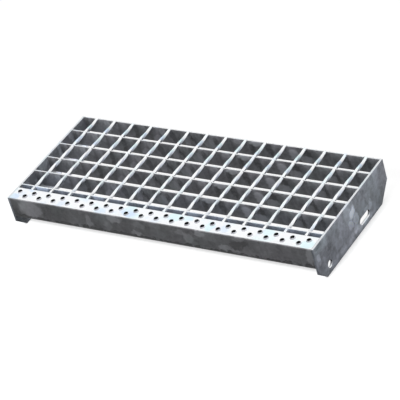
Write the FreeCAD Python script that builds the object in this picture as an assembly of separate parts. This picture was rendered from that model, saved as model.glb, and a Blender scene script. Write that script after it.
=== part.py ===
import FreeCAD
import Part
import math
import os

# Grating stair tread, hot-dip galvanised steel, in millimetres and degrees.
# X runs along the tread's length, Y from the nosing at the front (minus Y) to the rear bar, Z is up.
# The origin is the middle of the length and of the depth, on the level that the end plates stand on.

# Overall sizes
tread_length = 600.0
tread_depth = 240.0

# End plates, cut from flat bar and drilled for the stringer bolts
plate_height = 70.0
plate_thickness = 4.0
front_chamfer = 20.0
rear_chamfer = 30.0
bolt_hole_diameter = 13.0
bolt_hole_inset = 34.5
bolt_hole_height = 15.5
bolt_spacing = 120.0
slot_width = 13.0
slot_length = 33.0

# Bearing bars, upright flat bars from plate to plate
bar_height = 30.0
bar_thickness = 3.0
bar_pitch = 39.6

# Cross rods, twisted square rods forge-welded into the tops of the bars
rod_side = 5.0
rod_rise = 0.3
rod_pitch = 38.5
rod_row_offset = 1.0
quarter_turn_length = 34.7
twist_step = 36.0

# Nosing, a folded sheet with two rows of punched grip holes
nosing_width = 30.0
nosing_height = 39.5
nosing_lip = 12.0
nosing_thickness = 2.0
nosing_bend_radius = 0.3
grip_hole_diameter = 6.8
grip_rim_top_diameter = 8.0
grip_rim_base_diameter = 10.0
grip_rim_height = 2.0
grip_pitch = 29.9
grip_row_spacing = 10.0
grip_row_lead = 16.5
grip_sides = 12

# Places worked out from the sizes above
half_length = tread_length / 2
clear_half_length = half_length - plate_thickness
clear_length = 2 * clear_half_length
front_y = -tread_depth / 2
rear_y = tread_depth / 2
top_z = plate_height
nosing_back_y = front_y + nosing_width
rod_axis_z = top_z + rod_rise - rod_side / 2
rod_count = int(clear_length / rod_pitch)
bar_count = 1 + int((rear_y - nosing_back_y - bar_thickness) / bar_pitch)


def rod_positions():
    """X of every cross rod: an even row, its middle a little right of the tread's middle."""
    first = rod_row_offset - rod_pitch * (rod_count - 1) / 2
    return [first + rod_pitch * index for index in range(rod_count)]


def bar_positions():
    """Y of the middle of every bar from front to rear; the last one closes the tread's rear edge."""
    last = rear_y - bar_thickness / 2
    return [last - bar_pitch * index for index in reversed(range(bar_count))]


def closed_face(corners):
    """A flat face inside the polygon through the corners."""
    return Part.Face(Part.makePolygon(corners + corners[:1]))


def rod_stations():
    """Y and turn of a rod's sections from rear to front; the turn stands still inside each bar."""
    def turn_at(y):
        return 90.0 * (rear_y - y) / quarter_turn_length

    held = []
    for y in reversed(bar_positions()):
        held.append((y + bar_thickness / 2, turn_at(y)))
        held.append((y - bar_thickness / 2, turn_at(y)))
    held.append((nosing_back_y, turn_at(nosing_back_y)))
    stations = held[:1]
    for (start_y, start_turn), (end_y, end_turn) in zip(held, held[1:]):
        step_count = max(1, math.ceil((end_turn - start_turn) / twist_step))
        for step in range(1, step_count + 1):
            share = step / step_count
            stations.append((start_y + (end_y - start_y) * share, start_turn + (end_turn - start_turn) * share))
    return stations


def rod_point(x, y, turn, radius):
    """A point of a rod's section at y, at an angle from straight up towards plus X."""
    angle = math.radians(turn)
    return FreeCAD.Vector(x + radius * math.sin(angle), y, rod_axis_z + radius * math.cos(angle))


def twisted_rod(x):
    """A square rod from the rear edge to the nosing, level near its rear end and turning left-handed.

    Between the bars each flat is a chain of shallow hollows, with the middle of each on the twisted surface.
    """
    stations = rod_stations()
    corner_radius = rod_side / math.sqrt(2)
    corner_angles = [45.0, 135.0, 225.0, 315.0]
    rings = [[rod_point(x, y, turn + angle, corner_radius) for angle in corner_angles] for y, turn in stations]
    faces = [closed_face(rings[0]), closed_face(rings[-1])]
    for index in range(len(stations) - 1):
        ring = rings[index]
        following = rings[index + 1]
        start_y, start_turn = stations[index]
        end_y, end_turn = stations[index + 1]
        for side in range(4):
            beside = (side + 1) % 4
            around = [ring[side], ring[beside], following[beside], following[side]]
            if start_turn == end_turn:
                faces.append(closed_face(around))
                continue
            flat_angle = (start_turn + end_turn) / 2 + corner_angles[side] + 45.0
            middle = rod_point(x, (start_y + end_y) / 2, flat_angle, rod_side / 2)
            for first, second in zip(around, around[1:] + around[:1]):
                faces.append(closed_face([first, second, middle]))
    return Part.Solid(Part.Shell(faces))


def bearing_bar(y, rods):
    """An upright flat bar from plate to plate, notched to the rods that are pressed into its top."""
    corner = FreeCAD.Vector(-clear_half_length, y - bar_thickness / 2, top_z - bar_height)
    return Part.makeBox(clear_length, bar_thickness, bar_height, corner).cut(rods)


def slot_wire(x, y, z):
    """Outline of a slot with round ends, in the plane at x, its length along Y."""
    radius = slot_width / 2
    reach = slot_length / 2 - radius
    front_bottom = FreeCAD.Vector(x, y - reach, z - radius)
    front_end = FreeCAD.Vector(x, y - reach - radius, z)
    front_top = FreeCAD.Vector(x, y - reach, z + radius)
    rear_top = FreeCAD.Vector(x, y + reach, z + radius)
    rear_end = FreeCAD.Vector(x, y + reach + radius, z)
    rear_bottom = FreeCAD.Vector(x, y + reach, z - radius)
    edges = [
        Part.Arc(front_bottom, front_end, front_top).toShape(),
        Part.makeLine(front_top, rear_top),
        Part.Arc(rear_top, rear_end, rear_bottom).toShape(),
        Part.makeLine(rear_bottom, front_bottom),
    ]
    return Part.Wire(edges)


def end_plate(x):
    """A plate whose inner or outer face lies at x: cropped lower corners, a bolt hole and a slot behind it."""
    outline = [
        FreeCAD.Vector(x, front_y, top_z),
        FreeCAD.Vector(x, front_y, front_chamfer),
        FreeCAD.Vector(x, front_y + front_chamfer, 0),
        FreeCAD.Vector(x, rear_y - rear_chamfer, 0),
        FreeCAD.Vector(x, rear_y, rear_chamfer),
        FreeCAD.Vector(x, rear_y, top_z),
    ]
    hole_y = front_y + bolt_hole_inset
    hole_centre = FreeCAD.Vector(x, hole_y, bolt_hole_height)
    hole = Part.Wire(Part.makeCircle(bolt_hole_diameter / 2, hole_centre, FreeCAD.Vector(1, 0, 0)))
    slot = slot_wire(x, hole_y + bolt_spacing, bolt_hole_height)
    sheet = closed_face(outline).cut([Part.Face(hole), Part.Face(slot)])
    return sheet.extrude(FreeCAD.Vector(plate_thickness, 0, 0))


def nosing_section():
    """Cross-section of the folded nosing at its left end: top flange, front face and return lip."""
    outer = nosing_bend_radius + nosing_thickness
    bottom_z = top_z - nosing_height
    lip_y = front_y + nosing_lip
    centre_y = front_y + outer
    upper_z = top_z - outer
    lower_z = bottom_z + outer
    diagonal = math.sqrt(0.5)

    def point(y, z):
        return FreeCAD.Vector(-clear_half_length, y, z)

    def bend(radius, centre_z, upward):
        """The three points of a quarter bend about a centre, from the flange or lip to the front face."""
        flat = point(centre_y, centre_z + upward * radius)
        middle = point(centre_y - diagonal * radius, centre_z + upward * diagonal * radius)
        face = point(centre_y - radius, centre_z)
        return flat, middle, face

    outer_top = bend(outer, upper_z, 1)
    inner_top = bend(nosing_bend_radius, upper_z, 1)
    outer_bottom = bend(outer, lower_z, -1)
    inner_bottom = bend(nosing_bend_radius, lower_z, -1)
    flange_top = point(nosing_back_y, top_z)
    flange_under = point(nosing_back_y, top_z - nosing_thickness)
    lip_under = point(lip_y, bottom_z)
    lip_top = point(lip_y, bottom_z + nosing_thickness)
    edges = [
        Part.makeLine(flange_top, outer_top[0]),
        Part.Arc(*outer_top).toShape(),
        Part.makeLine(outer_top[2], outer_bottom[2]),
        Part.Arc(*reversed(outer_bottom)).toShape(),
        Part.makeLine(outer_bottom[0], lip_under),
        Part.makeLine(lip_under, lip_top),
        Part.makeLine(lip_top, inner_bottom[0]),
        Part.Arc(*inner_bottom).toShape(),
        Part.makeLine(inner_bottom[2], inner_top[2]),
        Part.Arc(*reversed(inner_top)).toShape(),
        Part.makeLine(inner_top[0], flange_under),
        Part.makeLine(flange_under, flange_top),
    ]
    return Part.Face(Part.Wire(edges))


def grip_positions():
    """X and Y of every grip hole: two staggered rows, the rear one starting nearer the left plate."""
    middle_y = (front_y + nosing_back_y) / 2
    reach = clear_half_length - grip_rim_base_diameter / 2
    front_count = int(2 * reach / grip_pitch)
    front_first = -grip_pitch * (front_count - 1) / 2
    rear_first = front_first - grip_row_lead
    front_row = [front_first + grip_pitch * index for index in range(front_count)]
    rear_row = [rear_first + grip_pitch * index for index in range(front_count + 2)]
    places = [(x, middle_y - grip_row_spacing / 2) for x in front_row]
    places += [(x, middle_y + grip_row_spacing / 2) for x in rear_row if abs(x) <= reach]
    return places


def many_sided(x, y, z, lower_diameter, upper_diameter, height):
    """An upright solid with flat sides, round enough for a small hole or its rim."""
    def ring(level, diameter):
        angles = [2 * math.pi * side / grip_sides for side in range(grip_sides)]
        return [FreeCAD.Vector(x + diameter / 2 * math.cos(angle), y + diameter / 2 * math.sin(angle), level)
                for angle in angles]

    lower = ring(z, lower_diameter)
    upper = ring(z + height, upper_diameter)
    faces = [closed_face(lower), closed_face(upper)]
    for side in range(grip_sides):
        beside = (side + 1) % grip_sides
        faces.append(closed_face([lower[side], lower[beside], upper[beside], upper[side]]))
    return Part.Solid(Part.Shell(faces))


def nosing():
    """The folded sheet, with the rim that the punch raises round every grip hole."""
    sheet = nosing_section().extrude(FreeCAD.Vector(clear_length, 0, 0))
    under_z = top_z - nosing_thickness
    hole_depth = nosing_thickness + grip_rim_height
    rims = []
    holes = []
    for x, y in grip_positions():
        rims.append(many_sided(x, y, top_z, grip_rim_base_diameter, grip_rim_top_diameter, grip_rim_height))
        holes.append(many_sided(x, y, under_z, grip_hole_diameter, grip_hole_diameter, hole_depth))
    return sheet.fuse(rims).cut(holes)


def build():
    """Every piece of the tread, by name."""
    rods = [twisted_rod(x) for x in rod_positions()]
    bars = [bearing_bar(y, rods) for y in bar_positions()]
    pieces = {
        "nosing": nosing(),
        "end_plate_left": end_plate(-half_length),
        "end_plate_right": end_plate(clear_half_length),
        "rear_bar": bars[-1],
    }
    for number, bar in enumerate(bars[:-1], start=1):
        pieces[f"bearing_bar_{number}"] = bar
    for number, rod in enumerate(rods, start=1):
        pieces[f"cross_rod_{number:02d}"] = rod
    return pieces


os.makedirs("parts", exist_ok=True)
for name, shape in build().items():
    shape.exportStep(f"parts/{name}.step")
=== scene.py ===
# %% [markdown]
# A galvanised grating stair tread, dressed for its portrait.
#
# The solids of the tread are already made to size, in another program, and they are loaded here as a fixed
# frame. This lesson gives each solid a finer twin: bars with rolled edges, rods that really twist, a nosing
# bent from one sheet, and end plates with broken edges. All of them get a zinc skin, a studio and a camera.

# %% Load the frame
import bmesh
import bpy
import math
from mathutils import Matrix, Vector


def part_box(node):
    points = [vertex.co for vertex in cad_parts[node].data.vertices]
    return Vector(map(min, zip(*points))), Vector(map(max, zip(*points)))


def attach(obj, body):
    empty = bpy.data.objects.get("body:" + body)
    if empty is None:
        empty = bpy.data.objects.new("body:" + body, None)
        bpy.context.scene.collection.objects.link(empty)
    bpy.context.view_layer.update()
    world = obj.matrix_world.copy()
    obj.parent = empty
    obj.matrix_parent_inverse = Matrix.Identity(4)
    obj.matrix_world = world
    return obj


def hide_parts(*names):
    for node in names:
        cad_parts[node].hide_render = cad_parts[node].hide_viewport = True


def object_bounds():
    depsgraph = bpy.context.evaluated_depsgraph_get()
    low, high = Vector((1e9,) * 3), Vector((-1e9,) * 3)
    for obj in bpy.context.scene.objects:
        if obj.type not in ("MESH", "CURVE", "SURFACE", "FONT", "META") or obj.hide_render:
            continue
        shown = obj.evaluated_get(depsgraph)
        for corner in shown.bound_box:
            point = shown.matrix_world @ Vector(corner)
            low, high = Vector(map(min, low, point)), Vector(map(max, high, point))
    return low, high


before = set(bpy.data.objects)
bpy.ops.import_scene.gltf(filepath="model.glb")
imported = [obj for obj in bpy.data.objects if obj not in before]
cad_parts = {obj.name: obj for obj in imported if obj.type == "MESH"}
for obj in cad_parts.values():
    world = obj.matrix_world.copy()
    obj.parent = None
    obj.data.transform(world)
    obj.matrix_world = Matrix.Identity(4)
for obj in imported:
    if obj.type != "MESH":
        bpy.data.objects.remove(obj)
cad_low, cad_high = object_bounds()
print("frame:", len(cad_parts), "solids,", [round(1000 * side) for side in cad_high - cad_low], "mm")

# %% [markdown]
# The camera comes first, because every other choice is judged through it.
#
# A long lens a few metres away keeps the bars almost parallel, and the camera is rolled to its right, so
# that the tread slopes down across the picture. A camera could be turned by three angles. Here it is aimed
# at a point under the middle of the grating and then rolled about its own line of sight, because those two
# steps can be pictured.

# %% Set up the camera
eye = Vector((1.9645, -2.2811, 2.0969))
aim = Vector((0.0155, -0.0104, 0.0360))
roll = math.radians(-16.71)
lens = 197.9
sight = (aim - eye).to_track_quat("-Z", "Y").to_matrix().to_4x4()

camera = bpy.data.objects.new("camera", bpy.data.cameras.new("camera"))
camera.data.lens = lens
camera.matrix_world = Matrix.Translation(eye) @ sight @ Matrix.Rotation(roll, 4, "Z")
bpy.context.scene.collection.objects.link(camera)
bpy.context.scene.camera = camera
bpy.context.scene.view_settings.view_transform = "Standard"
print("camera:", round((aim - eye).length, 2), "m from the tread")

# %% [markdown]
# Materials, the floor and the backdrop are all built from shader nodes.
#
# Wiring nodes one by one takes three lines each: make it, set it, link it. One small helper does all three,
# so that the cells below read like recipes. A socket that is given another node's output is linked to it,
# and anything else is set as a plain value.

# %% Helpers that add shader nodes
def add_node(tree, kind, sockets=None, **settings):
    """Adds a node, then links or sets its sockets."""
    made = tree.nodes.new(kind)
    for name, value in settings.items():
        setattr(made, name, value)
    for name, value in (sockets or {}).items():
        if isinstance(value, bpy.types.NodeSocket):
            tree.links.new(value, made.inputs[name])
        else:
            made.inputs[name].default_value = value
    return made


def math_node(tree, operation, first, second):
    return add_node(tree, "ShaderNodeMath", {0: first, 1: second}, operation=operation).outputs[0]


def vector_node(tree, operation, first, second):
    return add_node(tree, "ShaderNodeVectorMath", {0: first, 1: second}, operation=operation).outputs[0]


def scaled(tree, vector, factor):
    return add_node(tree, "ShaderNodeVectorMath", {0: vector, "Scale": factor}, operation="SCALE").outputs[0]


def remap(tree, value, low, high, to_low=0.0, to_high=1.0):
    """Moves a value from one range to another, softly at both ends."""
    sockets = {"Value": value, "From Min": low, "From Max": high, "To Min": to_low, "To Max": to_high}
    return add_node(tree, "ShaderNodeMapRange", sockets, interpolation_type="SMOOTHSTEP").outputs["Result"]


def mixed(tree, factor, first, second):
    """A colour between two others."""
    return add_node(tree, "ShaderNodeMix", {0: factor, 6: first, 7: second}, data_type="RGBA").outputs[2]


def seen_directly(tree):
    """One for rays that show the studio, in the picture or in a reflection, and nought for bounced light."""
    path = add_node(tree, "ShaderNodeLightPath")
    mirrored = math_node(tree, "MAXIMUM", path.outputs["Is Glossy Ray"], path.outputs["Is Transmission Ray"])
    return math_node(tree, "MAXIMUM", path.outputs["Is Camera Ray"], mirrored)


# %% [markdown]
# The studio is a white room. The backdrop and the floor are seen as plain white, and the floor still takes
# the tread's shadow.
#
# A floor could be lit until it turns white, but then the tread would be lit too brightly as well. Instead,
# part of the floor's white is its own, and only a share of it comes from a lamp, so a shadow can still be
# seen on it. The light that the floor throws back onto the tread is a low and even glow, because the front
# of the tread stays in the shade. A white card lies under the grating, and the floor behind the tread is as
# white as the card, so that the cells and the bolt holes show clean white.

# %% Make the backdrop
plain_white = (1.0, 1.0, 1.0, 1.0)
sky_colour = (0.94, 0.97, 1.0, 1.0)
sky_level = 0.22

world = bpy.data.worlds.new("studio")
world.use_nodes = True
room = world.node_tree
room.nodes.clear()
sky = add_node(room, "ShaderNodeBackground", {"Color": sky_colour, "Strength": sky_level})
white = add_node(room, "ShaderNodeBackground", {"Color": plain_white, "Strength": 1.0})
shades = {0: seen_directly(room), 1: sky.outputs[0], 2: white.outputs[0]}
choice = add_node(room, "ShaderNodeMixShader", shades)
add_node(room, "ShaderNodeOutputWorld", {"Surface": choice.outputs[0]})
bpy.context.scene.world = world
print("backdrop: white, with a sky of", sky_level)

# %% Mix the white paper
shadow_share = 0.50
card_share = 0.04
card_white_from, card_white_to = 0.05, 0.13
full_white, lamp_white = 1.02, 1.15
bounce_colour = (0.96, 0.98, 1.0, 1.0)
floor_bounce = 0.16


def white_paper(name, share_of_lamps):
    """White that is partly its own and partly the lamps'. Towards the rear, most of it is its own."""
    paper = bpy.data.materials.new(name)
    paper.use_nodes = True
    tree = paper.node_tree
    tree.nodes.clear()
    where = add_node(tree, "ShaderNodeTexCoord").outputs["Object"]
    depth = add_node(tree, "ShaderNodeSeparateXYZ", {0: where}).outputs["Y"]
    share = remap(tree, depth, card_white_from, card_white_to, share_of_lamps, card_share)
    own = math_node(tree, "SUBTRACT", full_white, math_node(tree, "MULTIPLY", share, lamp_white))
    lit = add_node(tree, "ShaderNodeBsdfDiffuse", {"Color": share})
    glow = add_node(tree, "ShaderNodeEmission", {"Color": plain_white, "Strength": own})
    shown = add_node(tree, "ShaderNodeAddShader", {0: lit.outputs[0], 1: glow.outputs[0]})
    bounce = add_node(tree, "ShaderNodeEmission", {"Color": bounce_colour, "Strength": floor_bounce})
    rays = {0: seen_directly(tree), 1: bounce.outputs[0], 2: shown.outputs[0]}
    surface = add_node(tree, "ShaderNodeMixShader", rays)
    add_node(tree, "ShaderNodeOutputMaterial", {"Surface": surface.outputs[0]})
    return paper


# %% Lay the floor and the card
floor_low, floor_high = (-6.0, -6.0), (6.0, 6.0)
card_low, card_high = (-0.293, -0.080), (0.293, 0.118)
card_height = 0.0005


def stage_sheet(name, low, high, height, share_of_lamps):
    bm = bmesh.new()
    bmesh.ops.create_grid(bm, x_segments=1, y_segments=1, size=0.5)
    bmesh.ops.scale(bm, vec=(high[0] - low[0], high[1] - low[1], 1.0), verts=bm.verts)
    middle = ((low[0] + high[0]) / 2, (low[1] + high[1]) / 2, height)
    bmesh.ops.translate(bm, vec=middle, verts=bm.verts)
    laid = bpy.data.objects.new(name, bpy.data.meshes.new(name))
    bm.to_mesh(laid.data)
    bm.free()
    bpy.context.scene.collection.objects.link(laid)
    laid.data.materials.append(white_paper(name, share_of_lamps))
    print(name, [round(end - start, 3) for start, end in zip(low, high)], "m")
    return laid


floor = stage_sheet("floor", floor_low, floor_high, 0.0, shadow_share)
card = stage_sheet("card", card_low, card_high, card_height, card_share)

# %% [markdown]
# Two soft lamps are almost enough for a matt metal.
#
# One hangs almost overhead, a little to the right, so that every upper face is bright, the right plate is
# half lit, and the nosing's front stays dark. The other stands in front and is linked to the floor alone,
# so that the tread's shadow stays short and close under its edges. A lamp's power says little about how
# bright a surface gets, so the helper below takes the level that a white card facing the lamp would show,
# and works out the power from it.

# %% Hang the lamps
def softbox(name, direction, reach, size, level):
    """A square lamp at a distance from the tread's middle, facing it."""
    lamp = bpy.data.objects.new(name, bpy.data.lights.new(name, "AREA"))
    lamp.data.shape = "SQUARE"
    lamp.data.size = size
    lamp.data.energy = level * (math.pi * reach) ** 2
    away = Vector(direction).normalized()
    lamp.matrix_world = Matrix.Translation(away * reach) @ away.to_track_quat("Z", "Y").to_matrix().to_4x4()
    bpy.context.scene.collection.objects.link(lamp)
    print(name, "softbox:", round(lamp.data.energy), "W")
    return lamp


def link_lamp(lamp, things, state):
    """Makes a lamp light only some things, or everything but them."""
    lit_things = bpy.data.collections.new(lamp.name + "_lights")
    for number, thing in enumerate(things):
        lit_things.objects.link(thing)
        lit_things.collection_objects[number].light_linking.link_state = state
    lamp.light_linking.receiver_collection = lit_things


overhead = softbox("overhead", direction=(0.20, 0.03, 0.98), reach=30.0, size=6.0, level=0.92)
before_the_tread = softbox("before_the_tread", direction=(0.0, -0.95, 1.0), reach=9.0, size=1.8, level=1.50)
link_lamp(overhead, (floor, card), "EXCLUDE")
link_lamp(before_the_tread, (floor, card), "INCLUDE")

# %% [markdown]
# Hot-dip zinc is a grey skin with soft-edged patches, the spangle, where the metal froze in one crystal
# after another.
#
# Its upper faces are painted almost white, a painted highlight where the lamps fall on them, while the
# upright faces stay dull, so the skin has two colours and picks one by the way a face points. A photograph
# could be wrapped round the pieces, but then each new angle would stretch it. Here noise and cell patterns
# are read in the tread's own coordinates, so the skin runs on round every edge. A few larger patches have
# their own places, as on the real tread.

# %% Colours and patches
patch_ends, patch_full = 1.25, 0.75
green_lift, blue_lift = 0.035, 0.085


def grey(level, blue=1.0):
    return (level, level * (1 + green_lift * blue), level * (1 + blue_lift * blue), 1.0)


def tinted(colour, highlight_tint):
    return tuple(level * share for level, share in zip(colour, highlight_tint)) + (1.0,)


def patches_at(tree, where, patches):
    """Soft patches, added up. Each is a centre and half its size in mm, a lean in degrees and a strength."""
    total = 0.0
    for centre, half, lean, strength in patches:
        place = {
            "Vector": where,
            "Location": Vector(centre) / 1000,
            "Rotation": (0.0, math.radians(lean), 0.0),
            "Scale": Vector(half) / 1000,
        }
        stamp = add_node(tree, "ShaderNodeMapping", place, vector_type="TEXTURE").outputs[0]
        reach = add_node(tree, "ShaderNodeVectorMath", {0: stamp}, operation="LENGTH").outputs["Value"]
        total = math_node(tree, "ADD", total, remap(tree, reach, patch_ends, patch_full, 0.0, strength))
    return total


# %% Patterns of frozen zinc
wobble_scale, wobble_reach = 90.0, 0.014
cloud_scale, wisp_scale, grain_scale = 55.0, 150.0, 480.0
cloud_squeeze = 0.45
crystal_contrast, grain_contrast = 0.14, 0.05


def noise(tree, where, scale):
    return add_node(tree, "ShaderNodeTexNoise", {"Vector": where, "Scale": scale}).outputs["Fac"]


def zinc_patterns(tree, position, spangle, turn, along):
    """Each point's place, wobbled a little, and the crystals, clouds, wisps and grain that it gets."""
    flat = add_node(tree, "ShaderNodeMapping", {"Vector": position, "Scale": (1.0, along, 1.0)}).outputs[0]
    ripple = {"Vector": flat, "Scale": wobble_scale, "Detail": 2.0}
    wobble = add_node(tree, "ShaderNodeTexNoise", ripple).outputs["Color"]
    centred = vector_node(tree, "SUBTRACT", wobble, (0.5, 0.5, 0.5))
    where = vector_node(tree, "ADD", flat, scaled(tree, centred, wobble_reach))
    slant = {"Vector": where, "Rotation": (0.0, turn, 0.0), "Scale": (1.0, 1.0, cloud_squeeze)}
    leaning = add_node(tree, "ShaderNodeMapping", slant).outputs[0]
    sizes = {"Vector": where, "Scale": 1.0 / spangle}
    cells = add_node(tree, "ShaderNodeTexVoronoi", sizes, feature="SMOOTH_F1").outputs["Color"]
    crystal = add_node(tree, "ShaderNodeSeparateColor", {"Color": cells}).outputs
    clouds = noise(tree, leaning, cloud_scale)
    return where, crystal, clouds, noise(tree, where, wisp_scale), noise(tree, flat, grain_scale)


def zinc_tone(tree, crystal, clouds, wisps, grain, cloud):
    """How light the zinc is, about one: every pattern adds its own contrast."""
    tone = remap(tree, crystal["Red"], 0.2, 0.9, 1 - crystal_contrast, 1 + crystal_contrast)
    layers = ((clouds, 0.18, cloud), (wisps, 0.18, cloud / 2), (grain, 0.2, grain_contrast))
    for layer, spread, contrast in layers:
        swing = remap(tree, layer, 0.5 - spread, 0.5 + spread, -contrast, contrast)
        tone = math_node(tree, "ADD", tone, swing)
    return tone


# %% The zinc skin
darkest = 0.35
shade_fade, shade_contrast = 0.001, 0.62
unshaded_cloud, shaded_cloud = 0.66, 0.54
warm_hue, cool_hue = (1.03, 0.98, 1.02, 1.0), (0.98, 1.0, 1.0, 1.0)
cyan_highlight_tint, blue_highlight_tint = (0.83, 0.99, 1.0), (0.72, 0.84, 1.0)
faintest_tint, fullest_tint, tint_strength = 0.45, 0.7, 0.5
relief_grain, relief_strength, relief_depth = 0.4, 0.10, 0.001
smoothest, roughest = 0.46, 0.62
sheen = 0.25


def zinc(
    name, dull, highlight, spots=(), tints=(),
    spangle=0.034, cloud=0.2, level=0.6, full=0.97, turn=0.0, along=1.0, shade_below=0.0,
):
    """Zinc that is dull on upright faces, with spots, and painted with a highlight on upper faces, with
    tints.

    Spangle is the size of a crystal, and cloud the contrast of the clouds. The painted highlight starts
    where a normal's Z is level, and is full at full. Turn leans the clouds, along stretches the patterns
    front to rear, and the last argument is the height below which the zinc is darkened with painted shade,
    broken where the clouds are light.
    """
    skin = bpy.data.materials.new(name)
    skin.use_nodes = True
    tree = skin.node_tree
    tree.nodes.clear()
    coordinates = add_node(tree, "ShaderNodeTexCoord").outputs
    patterns = zinc_patterns(tree, coordinates["Object"], spangle, turn, along)
    where, crystal, clouds, wisps, grain = patterns

    tone = zinc_tone(tree, crystal, clouds, wisps, grain, cloud)
    # Painted shade along the bottom of the nosing's front and its lower bend: below the height the tone is
    # darker, less where the clouds are light.
    if shade_below:
        height = add_node(tree, "ShaderNodeSeparateXYZ", {0: where}).outputs["Z"]
        below = remap(tree, height, shade_below + shade_fade, shade_below)
        uneven = remap(tree, clouds, unshaded_cloud, shaded_cloud, 0.0, shade_contrast)
        lower_shade = math_node(tree, "MULTIPLY", below, uneven)
        tone = math_node(tree, "SUBTRACT", tone, lower_shade)
    if spots:
        spotted = math_node(tree, "ADD", tone, patches_at(tree, where, spots))
        tone = math_node(tree, "MAXIMUM", spotted, darkest)
    hue = mixed(tree, crystal["Blue"], warm_hue, cool_hue)
    side = vector_node(tree, "MULTIPLY", scaled(tree, dull[:3], tone), hue)

    # The upper colour is a painted highlight, with pale blue tints in places; the normal's Z picks it over
    # the dull colour.
    tint = remap(tree, clouds, faintest_tint, fullest_tint, 0.0, tint_strength)
    if tints:
        tint = math_node(tree, "MAXIMUM", tint, patches_at(tree, where, tints))
    bluer = remap(tree, crystal["Green"], 0.4, 0.7)
    highlight_tint = mixed(tree, bluer, tinted(highlight, cyan_highlight_tint), tinted(highlight, blue_highlight_tint))
    upper = mixed(tree, tint, highlight, highlight_tint)
    facing = add_node(tree, "ShaderNodeSeparateXYZ", {0: coordinates["Normal"]}).outputs["Z"]

    relief = math_node(tree, "ADD", wisps, math_node(tree, "MULTIPLY", grain, relief_grain))
    unevenness = {"Height": relief, "Strength": relief_strength, "Distance": relief_depth}
    bump = add_node(tree, "ShaderNodeBump", unevenness)
    metal = {
        "Base Color": mixed(tree, remap(tree, facing, level, full), side, upper),
        "Metallic": 0.0,
        "Roughness": remap(tree, clouds, 0.3, 0.7, smoothest, roughest),
        "Specular IOR Level": sheen,
        "Normal": bump.outputs[0],
    }
    surface = add_node(tree, "ShaderNodeBsdfPrincipled", metal)
    add_node(tree, "ShaderNodeOutputMaterial", {"Surface": surface.outputs[0]})
    print("finish", name, "with", len(tree.nodes), "nodes")
    return skin


# %% [markdown]
# The larger patches are given in one list for each kind of piece.
#
# They could be painted on an image, but a centre, half a size, a lean and a strength are enough for a soft
# spot, and a list of them reads like a map. Spots lie on upright faces, and one with a strength below
# nought is darker than the zinc around it. Tints are pale blue spots in the painted highlight of upper
# faces. A patch that is far across one way counts only by its place along the other.

# %% Patches on the nosing
far = 1e6
nosing_spots = [
    ((-290, 0, 50), (9, far, 22), 0, -0.35),
    ((-257, 0, 53), (25, far, 17), 0, 1.1),
    ((-203, 0, 52), (30, far, 20), 0, -0.25),
    ((-137, 0, 46), (6, far, 13), 10, 0.8),
    ((-118, 0, 54), (12, far, 17), 0, -0.2),
    ((-98, 0, 47), (8, far, 9), 0, 0.4),
    ((-80, 0, 62), (14, far, 7), 0, 0.9),
    ((-60, 0, 50), (10, far, 16), 0, -0.15),
    ((-41, 0, 42), (9, far, 5), 0, 0.9),
    ((-32, 0, 59), (11, far, 7), 0, 0.35),
    ((49, 0, 60), (8, far, 6), 0, 0.5),
    ((62, 0, 49), (10, far, 11), 0, 0.7),
    ((88, 0, 62), (10, far, 7), 0, 0.8),
    ((95, 0, 45), (20, far, 8), 0, -0.25),
    ((131, 0, 42), (11, far, 7), 0, 0.9),
    ((150, 0, 38), (9, far, 5), 0, 0.8),
    ((158, 0, 52), (21, far, 9), -20, -0.4),
    ((162, 0, 65), (13, far, 4), 0, 0.6),
    ((205, 0, 52), (13, far, 12), 0, 0.15),
    ((290, 0, 54), (8, far, 15), 0, 0.9),
]
nosing_tints = [
    ((-290, -113, 0), (11, 9, far), 0, 0.9),
    ((-267, -92, 0), (6, 5, far), 0, 0.7),
    ((-112, -113, 0), (12, 8, far), 0, 0.7),
    ((-60, -101, 0), (13, 12, far), 0, 0.9),
    ((-46, -112, 0), (12, 7, far), 0, 0.9),
    ((28, -98, 0), (13, 11, far), 0, 1.0),
    ((53, -96, 0), (11, 8, far), 0, 0.9),
    ((101, -107, 0), (9, 13, far), 0, 1.0),
    ((130, -108, 0), (10, 10, far), 0, 0.6),
    ((206, -97, 0), (12, 7, far), 0, 0.9),
    ((213, -110, 0), (12, 9, far), 0, 0.5),
    ((284, -109, 0), (13, 10, far), 0, 1.0),
]
print("nosing:", len(nosing_spots), "spots and", len(nosing_tints), "tints")

# %% Patches on the end plates
plate_spots = [
    ((300, 4, 49), (50, 10, 8), 0, 1.5),
    ((300, -6, 32), (50, 8, 9), 0, 1.1),
    ((300, 5, 18), (50, 9, 9), 0, 0.6),
    ((300, 0, 36), (50, 26, 26), 0, 0.2),
    ((300, 58, 14), (50, 16, 11), 0, 0.3),
    ((300, 58, 30), (50, 5, 5), 0, 0.4),
    ((300, 12, 32), (50, 8, 9), 0, 1.0),
    ((300, 50, 24), (50, 14, 6), 0, 0.8),
    ((300, -50, 31), (50, 12, 10), 0, 0.3),
    ((300, -113, 39), (50, 7, 10), 0, 0.3),
    ((300, -112, 47), (50, 6, 6), 0, 0.5),
    ((300, -105, 66), (50, 16, 5), 0, -0.25),
    ((300, -82, 40), (50, 12, 12), 0, -0.2),
    ((300, -46, 12), (50, 34, 6), 0, -0.25),
    ((300, 74, 61), (50, 36, 9), 0, -0.3),
]
# Painted shade on the left plate's inner side: darker over its upper part, between the bars, and at the
# front under the nosing.
inner_plate_shade_spots = [
    ((-296, 0, 62), (50, far, 26), 0, -0.6),
    ((-296, -112, 26), (50, 24, 24), 0, -0.4),
]
print("end plates:", len(plate_spots), "spots outside and", len(inner_plate_shade_spots), "inside")

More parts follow.
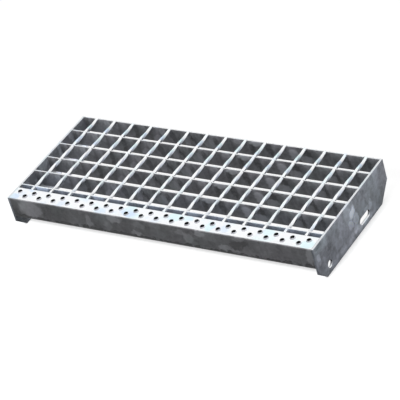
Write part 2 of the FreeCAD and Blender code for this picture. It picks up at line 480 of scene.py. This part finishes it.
# %% Patches on the bars
bar_spots = [
    ((-291, 0, 58), (6, far, 12), 0, -0.35),
    ((-248, 0, 57), (8, far, 14), 15, 0.55),
    ((-231, 0, 62), (6, far, 7), 0, 0.5),
    ((-187, 0, 54), (5, far, 13), 0, -0.4),
    ((-143, 0, 48), (9, far, 7), 0, 0.55),
    ((-130, 0, 63), (6, far, 7), 0, 0.6),
    ((-110, 0, 54), (6, far, 14), -15, -0.4),
    ((-82, 0, 51), (7, far, 8), 0, 0.5),
    ((-69, 0, 54), (3, far, 14), -30, -0.35),
    ((-36, 0, 50), (10, far, 10), 0, 0.7),
    ((-24, 0, 60), (5, far, 8), -25, -0.35),
    ((24, 0, 64), (8, far, 6), 0, 0.35),
    ((51, 0, 53), (7, far, 12), 0, -0.45),
    ((59, 0, 65), (11, far, 6), 0, 0.8),
    ((85, 0, 57), (8, far, 12), 0, -0.4),
    ((132, 0, 53), (10, far, 11), 0, 1.1),
    ((154, 0, 47), (13, far, 8), 0, 0.7),
    ((168, 0, 60), (13, far, 8), 0, -0.4),
    ((225, 0, 48), (9, far, 7), 0, 0.6),
    ((237, 0, 53), (3, far, 12), -10, -0.35),
    ((274, 0, 55), (4, far, 11), -10, -0.35),
]
# The front bar is painted lighter and bluer than the other bars, as painted light on the strip seen behind
# the nosing; these spots vary it along its length.
lit_front_bar_spots = [
    ((-290, 0, 66), (8, far, far), 0, -0.4),
    ((-255, 0, 66), (16, far, far), 0, 1.3),
    ((-135, 0, 66), (10, far, far), 0, 1.0),
    ((-100, 0, 66), (7, far, far), 0, 0.3),
    ((52, 0, 66), (12, far, far), 0, 0.5),
    ((112, 0, 66), (10, far, far), 0, 0.5),
]
print("bars:", len(bar_spots), "spots, and", len(lit_front_bar_spots), "on the front one")

# %% Patches on the rods
rod_spots = [
    ((0, -62, 0), (far, 10, far), 0, -0.25),
    ((0, -13, 0), (far, 8, far), 0, 0.8),
    ((0, 22, 0), (far, 15, far), 0, 1.7),
    ((0, 57, 0), (far, 10, far), 0, 1.0),
    ((0, 95, 0), (far, 9, far), 0, 0.8),
]
rod_tints = [
    ((0, -46, 0), (far, 8, far), 0, 0.5),
    ((0, -11, 0), (far, 6, far), 0, 0.5),
    ((0, 58, 0), (far, 8, far), 0, 0.9),
    ((0, 92, 0), (far, 6, far), 0, 1.0),
]
print("rods:", len(rod_spots), "spots and", len(rod_tints), "tints")

# %% [markdown]
# Each kind of piece has its own finish, because thick and thin steel cool at different speeds after the
# bath.
#
# One finish could do for all, but the bars are streaked, the plates cloudy and the rods bright, with painted
# highlight and painted shade on their twisted faces. The front bar is seen through a narrow gap behind the
# nosing and is painted lighter and bluer, as painted light, and the left plate has painted shade inside, so
# these two have finishes of their own. So have the collars of the grip holes, painted lighter as painted
# light, and the walls inside the holes, painted dark as painted shade.

# %% The finishes of this tread
# The nosing's front gets painted shade below this height, along its lower bend.
nosing_shade_height = 0.037
streak_lean = math.radians(35)
streaks = {"turn": streak_lean, "along": 0.0}
skins = {
    "nosing_zinc": zinc(
        "dull_nosing", grey(0.31, 0.5), grey(0.86, 0.3), nosing_spots, nosing_tints,
        level=0.8, shade_below=nosing_shade_height,
    ),
    "plate_zinc": zinc("cloudy_plate", grey(0.38, 2.4), grey(0.70, 0.4), plate_spots, cloud=0.28, level=0.9),
    "bar_zinc": zinc(
        "streaked_bar", grey(0.36, 0.75), grey(0.77, 0.2), bar_spots, cloud=0.24, level=0.95, **streaks
    ),
    # The rods take the painted highlight from a low slope on, so their twisted faces carry painted highlight
    # and painted shade by the way they turn.
    "rod_zinc": zinc(
        "bright_rod", grey(0.35, 2.2), grey(0.88, 0.2), rod_spots, rod_tints,
        spangle=0.008, cloud=0.3, level=0.15, full=0.74,
    ),
}
# A lighter, bluer copy of the bar zinc for the front bar: painted light.
lit_front_bar = zinc("painted_lit_front_bar", grey(0.50, 4.5), grey(0.80, 0.2), lit_front_bar_spots, level=0.9, **streaks)
# The left plate's inner side: plate zinc with painted shade.
shaded_inner_plate = zinc(
    "painted_shade_inner_plate", grey(0.38, 2.0), grey(0.80, 0.4), inner_plate_shade_spots, cloud=0.28, level=0.9
)
# Lighter zinc for the grip-hole collars and the lit walls of the bolt holes: painted light.
painted_lit_rim_and_wall = zinc("painted_lit_rim_and_wall", grey(0.62, 0.8), grey(0.86, 0.3), spangle=0.012, cloud=0.06)
# Near black for the walls inside the holes: painted shade.
painted_hole_shade = zinc("painted_hole_shade", grey(0.02), grey(0.02))

# %% [markdown]
# Every finished mesh goes through the same four steps: it becomes an object, gets its finish, is tied to
# the tread, and takes the place of the plain solid that it copies.

# %% A helper that finishes a piece
crease = math.radians(25)


def finish_piece(bm, name, slot, solid, *finishes):
    bmesh.ops.recalc_face_normals(bm, faces=bm.faces)
    mesh = bpy.data.meshes.new(name)
    bm.to_mesh(mesh)
    bm.free()
    mesh.shade_smooth()
    mesh.set_sharp_from_angle(angle=crease)
    for skin in finishes or [skins[slot]]:
        mesh.materials.append(skin)
    piece = bpy.data.objects.new(name, mesh)
    bpy.context.scene.collection.objects.link(piece)
    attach(piece, "root")
    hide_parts(solid)
    return piece


# %% [markdown]
# The bearing bars are rolled flat bars that stand on edge between the end plates.
#
# A rolled bar never has knife edges, and the thin line of light along its rounded corners is what tells the
# eye that it is steel. So each bar is a cube, stretched to the solid's box, whose long edges are bevelled
# by a fraction of a millimetre, more at the top than below. The rods run through the bars, and no notches
# need cutting, because the twisted rods fill them.

# %% Make the bearing bars
tread_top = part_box("end_plate_left")[1].z
bar_top_edge = 0.0009
bar_low_edge = 0.0001
rod_end_proud = 0.00015


def flat_bar(solid):
    low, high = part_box(solid)
    high.z = tread_top
    if solid == "rear_bar":
        high.y -= rod_end_proud
    bm = bmesh.new()
    bmesh.ops.create_cube(bm, size=1.0)
    bmesh.ops.scale(bm, vec=high - low, verts=bm.verts)
    bmesh.ops.translate(bm, vec=(low + high) / 2, verts=bm.verts)
    for level, radius in ((low.z, bar_low_edge), (high.z, bar_top_edge)):
        at_level = [edge for edge in bm.edges if abs(edge.verts[0].co.z - level) < bar_low_edge / 2]
        long_edges = [edge for edge in at_level if edge.calc_length() > (high.x - low.x) / 2]
        bmesh.ops.bevel(
            bm, geom=long_edges, offset=radius, segments=2, profile=0.5, affect="EDGES", material=-1
        )
    finish = lit_front_bar if solid == "bearing_bar_1" else skins["bar_zinc"]
    return finish_piece(bm, "flat_" + solid, "bar_zinc", solid, finish)


bars = [flat_bar(solid) for solid in sorted(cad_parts) if "bar" in solid]
print("bars:", len(bars))

# %% [markdown]
# The cross rods are square rods, twisted cold before they were pressed into the hot bars.
#
# A twisted rod could be a long box with many cuts and a twist modifier. The spin tool does it in one go: it
# turns a square about the rod's axis, and with a step along the axis it draws a screw instead of a ring.
# The square starts level at the rear bar and makes a quarter turn about every 35 millimetres towards the
# nosing.

# %% Make the twisted rods
rod_side = 0.005
rod_corner = 0.0008
rod_rise = 0.0003
quarter_turn = 0.0347
rod_steps = 96


def twisted_rod(solid):
    low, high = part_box(solid)
    length = high.y - low.y
    rear_end = Vector(((low.x + high.x) / 2, high.y, tread_top + rod_rise - rod_side / 2))
    upright = Matrix.Translation(rear_end) @ Matrix.Rotation(math.radians(90), 4, "X")
    bm = bmesh.new()
    bmesh.ops.create_grid(bm, x_segments=1, y_segments=1, size=rod_side / 2, matrix=upright)
    bmesh.ops.bevel(
        bm, geom=bm.verts[:], offset=rod_corner, segments=2, profile=0.5, affect="VERTICES", material=-1
    )
    bmesh.ops.spin(
        bm,
        geom=bm.verts[:] + bm.edges[:] + bm.faces[:],
        cent=rear_end,
        axis=(0, 1, 0),
        dvec=(0, -length / rod_steps, 0),
        angle=math.radians(90) * length / quarter_turn,
        steps=rod_steps,
    )
    return finish_piece(bm, "twisted_" + solid, "rod_zinc", solid)


rods = [twisted_rod(solid) for solid in sorted(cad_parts) if "rod" in solid]
print("rods:", len(rods), "with", len(rods[0].data.polygons), "faces each")

# %% [markdown]
# The nosing is one strip of sheet, bent twice: a flange to step on, a front face, and a short lip below.
#
# Sheet metal is easiest to make the way a press brake does. A line of three straight runs is drawn across
# the strip, pulled out to its length, bent by bevelling the two fold lines, and only then given its
# thickness. The grip holes are cut by a boolean with pins, and each one gets a collar, a short profile spun
# round the hole.

# %% Fold the nosing
sheet = 0.002
bend = 0.0023
lip = 0.012


def pull_along(bm, made, distance):
    """Moves what an extrusion has made along the tread."""
    points = [part for part in made["geom"] if isinstance(part, bmesh.types.BMVert)]
    bmesh.ops.translate(bm, vec=(distance, 0, 0), verts=points)


def folded_sheet():
    low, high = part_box("nosing")
    runs = [(high.y, tread_top), (low.y, tread_top), (low.y, low.z), (low.y + lip, low.z)]
    bm = bmesh.new()
    points = [bm.verts.new((low.x, y, z)) for y, z in runs]
    edges = [bm.edges.new(pair) for pair in zip(points, points[1:])]
    pull_along(bm, bmesh.ops.extrude_edge_only(bm, edges=edges), high.x - low.x)
    folds = [edge for edge in bm.edges if len(edge.link_faces) == 2]
    bmesh.ops.bevel(bm, geom=folds, offset=bend, segments=6, profile=0.5, affect="EDGES", material=-1)
    bm.normal_update()
    if max(bm.faces, key=lambda face: face.calc_center_median().z).normal.z < 0:
        bmesh.ops.reverse_faces(bm, faces=bm.faces)
    bmesh.ops.solidify(bm, geom=bm.faces[:], thickness=sheet)
    return bm


# %% Punch the grip holes
grip_pitch = 0.0299
grip_lead = 0.0165
grip_hole = 0.0034
grip_edge = 0.0003
grip_sides = 20
grips_each_way = 9
front_row_y, rear_row_y = -0.110, -0.100
front_numbers = range(-grips_each_way, grips_each_way + 1)
rear_numbers = range(-grips_each_way, grips_each_way + 2)
front_row = [(number * grip_pitch, front_row_y) for number in front_numbers]
rear_row = [(number * grip_pitch - grip_lead, rear_row_y) for number in rear_numbers]
grips = front_row + rear_row


def as_object(bm, name):
    made = bpy.data.objects.new(name, bpy.data.meshes.new(name))
    bm.to_mesh(made.data)
    bm.free()
    bpy.context.scene.collection.objects.link(made)
    return made


def punched(bm, places, radius):
    """The sheet after pins of that radius have been pushed through its top flange."""
    pins = bmesh.new()
    for x, y in places:
        bmesh.ops.create_cone(
            pins,
            cap_ends=True,
            segments=grip_sides,
            radius1=radius,
            radius2=radius,
            depth=4 * sheet,
            matrix=Matrix.Translation((x, y, cad_high.z)),
        )
    strip = as_object(bm, "strip")
    pin = as_object(pins, "pins")
    cut = strip.modifiers.new("holes", "BOOLEAN")
    cut.object = pin
    cut.solver = "EXACT"
    bpy.context.view_layer.update()
    made = bmesh.new()
    made.from_object(strip, bpy.context.evaluated_depsgraph_get())
    for used in (strip, pin):
        bpy.data.objects.remove(used)
    return made


punched_sheet = punched(folded_sheet(), grips, grip_hole + grip_edge)
print("grip holes:", len(grips), "in a sheet of", len(punched_sheet.faces), "faces")

# %% Raise a collar round each hole
crest = cad_high.z
under = tread_top - sheet - 0.00005
collar_profile = [
    (0.0050, tread_top - 0.0001),
    (0.0042, crest - 0.0004),
    (0.0040, crest - 0.0001),
    (0.0038, crest),
    (0.0036, crest - 0.0002),
    (grip_hole, under),
    (grip_hole + 2 * grip_edge, under),
]


def collar(bm, x, y):
    """Spins the profile, pairs of a radius and a height, round a hole, and gives its two sides a finish: the
    outer side a lighter zinc with painted light, the inner side a near-black painted shade.
    """
    points = [bm.verts.new((x + radius, y, z)) for radius, z in collar_profile]
    edges = [bm.edges.new(pair) for pair in zip(points, points[1:])]
    before = set(bm.faces)
    bmesh.ops.spin(
        bm,
        geom=points + edges,
        cent=(x, y, 0),
        axis=(0, 0, 1),
        angle=math.radians(360),
        steps=grip_sides,
        use_merge=True,
    )
    for face in set(bm.faces) - before:
        middle = face.calc_center_median()
        # Faces inside the crest are painted black as painted shade in the hole; the rest get the lighter rim
        # zinc, painted light.
        face.material_index = 2 if math.hypot(middle.x - x, middle.y - y) < grip_hole + grip_edge else 1


for x, y in grips:
    collar(punched_sheet, x, y)
nosing_finishes = (skins["nosing_zinc"], painted_lit_rim_and_wall, painted_hole_shade)
nosing = finish_piece(punched_sheet, "folded_nosing", "nosing_zinc", "nosing", *nosing_finishes)
print("nosing:", len(nosing.data.polygons), "faces")

# %% [markdown]
# The end plates are flats with two cropped corners, a round bolt hole at the front and a slot behind it.
#
# A plate with holes is a filled outline. Outline, hole and slot are drawn as loops of edges on one side,
# the fill tool makes the sheet between them, and an extrusion gives it its thickness. Last, every sharp
# edge is broken a little, as a workshop does before galvanising.

# %% Draw the bolt holes and choose the finishes
front_crop, rear_crop = 0.020, 0.030
bolt_hole, bolt_y, bolt_z = 0.0065, -0.0855, 0.0155
slot_y, slot_reach = 0.0345, 0.010
loop_sides = 32
sideways = 0.9
frontward, upward = -0.2, 0.15
plate_finishes = (skins["plate_zinc"], painted_hole_shade, painted_lit_rim_and_wall, shaded_inner_plate)


def round_loop(bm, x, y, z):
    half_step = Matrix.Rotation(math.pi / loop_sides, 4, "Z")
    place = Matrix.Translation((x, y, z)) @ Matrix.Rotation(math.radians(90), 4, "Y") @ half_step
    return bmesh.ops.create_circle(bm, segments=loop_sides, radius=bolt_hole, matrix=place)["verts"]


def plate_finish(face, low, high):
    """Which finish a face gets: a hole wall painted dark as shade or painted light, the left plate's inside
    with painted shade, or plain zinc.
    """
    middle = face.calc_center_median()
    in_hole = abs(middle.z - bolt_z) < bolt_hole and low.y + front_crop < middle.y < high.y - rear_crop
    if in_hole and abs(face.normal.x) < sideways:
        # Hole walls turned to the front and not up get painted shade; the other hole walls are painted
        # light.
        return 1 if face.normal.y < frontward and face.normal.z < upward else 2
    return 3 if face.normal.x > sideways and middle.x < 0 else 0


# %% Cut the end plates
plate_edge = 0.0005
sharp_angle = math.radians(60)


def end_plate(solid):
    low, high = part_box(solid)
    outline = [
        (low.y, high.z),
        (low.y, low.z + front_crop),
        (low.y + front_crop, low.z),
        (high.y - rear_crop, low.z),
        (high.y, low.z + rear_crop),
        (high.y, high.z),
    ]
    bm = bmesh.new()
    corners = [bm.verts.new((low.x, y, z)) for y, z in outline]
    for pair in zip(corners, corners[1:] + corners[:1]):
        bm.edges.new(pair)
    round_loop(bm, low.x, bolt_y, bolt_z)
    for point in round_loop(bm, low.x, slot_y, bolt_z):
        point.co.y += math.copysign(slot_reach, point.co.y - slot_y)
    bmesh.ops.triangle_fill(bm, use_beauty=True, use_dissolve=False, edges=bm.edges[:])
    pull_along(bm, bmesh.ops.extrude_face_region(bm, geom=bm.faces[:]), high.x - low.x)
    bmesh.ops.recalc_face_normals(bm, faces=bm.faces)
    sharp = [edge for edge in bm.edges if edge.calc_face_angle(0) > sharp_angle]
    bmesh.ops.bevel(
        bm, geom=sharp, offset=plate_edge, segments=2, profile=0.5, affect="EDGES", material=-1
    )
    for face in bm.faces:
        face.material_index = plate_finish(face, low, high)
    return finish_piece(bm, "cropped_" + solid, "plate_zinc", solid, *plate_finishes)


plates = [end_plate(solid) for solid in ("end_plate_left", "end_plate_right")]
print("end plates:", [len(plate.data.polygons) for plate in plates], "faces")

# %% [markdown]
# Light that falls through the grating onto a white floor is thrown back at the left plate, whose inner side
# is seen between the bars.
#
# The glow of this floor is too low and even for that. A brighter floor would light the nosing as well, so a
# narrow lamp does it: it lies under the bars, close to the plate, and is linked to that plate alone.

# %% Light the left plate from below
strip_energy = 0.024
strip_place = (-0.281, 0.049, 0.018)
strip_width, strip_length = 0.010, 0.13

low_strip = bpy.data.objects.new("low_strip", bpy.data.lights.new("low_strip", "AREA"))
low_strip.data.shape = "RECTANGLE"
low_strip.data.size = strip_width
low_strip.data.size_y = strip_length
low_strip.data.energy = strip_energy
low_strip.visible_camera = False
low_strip.matrix_world = Matrix.Translation(strip_place) @ Matrix.Rotation(math.radians(90), 4, "Y")
bpy.context.scene.collection.objects.link(low_strip)
link_lamp(low_strip, plates[:1], "INCLUDE")
print("low strip:", strip_energy, "W")
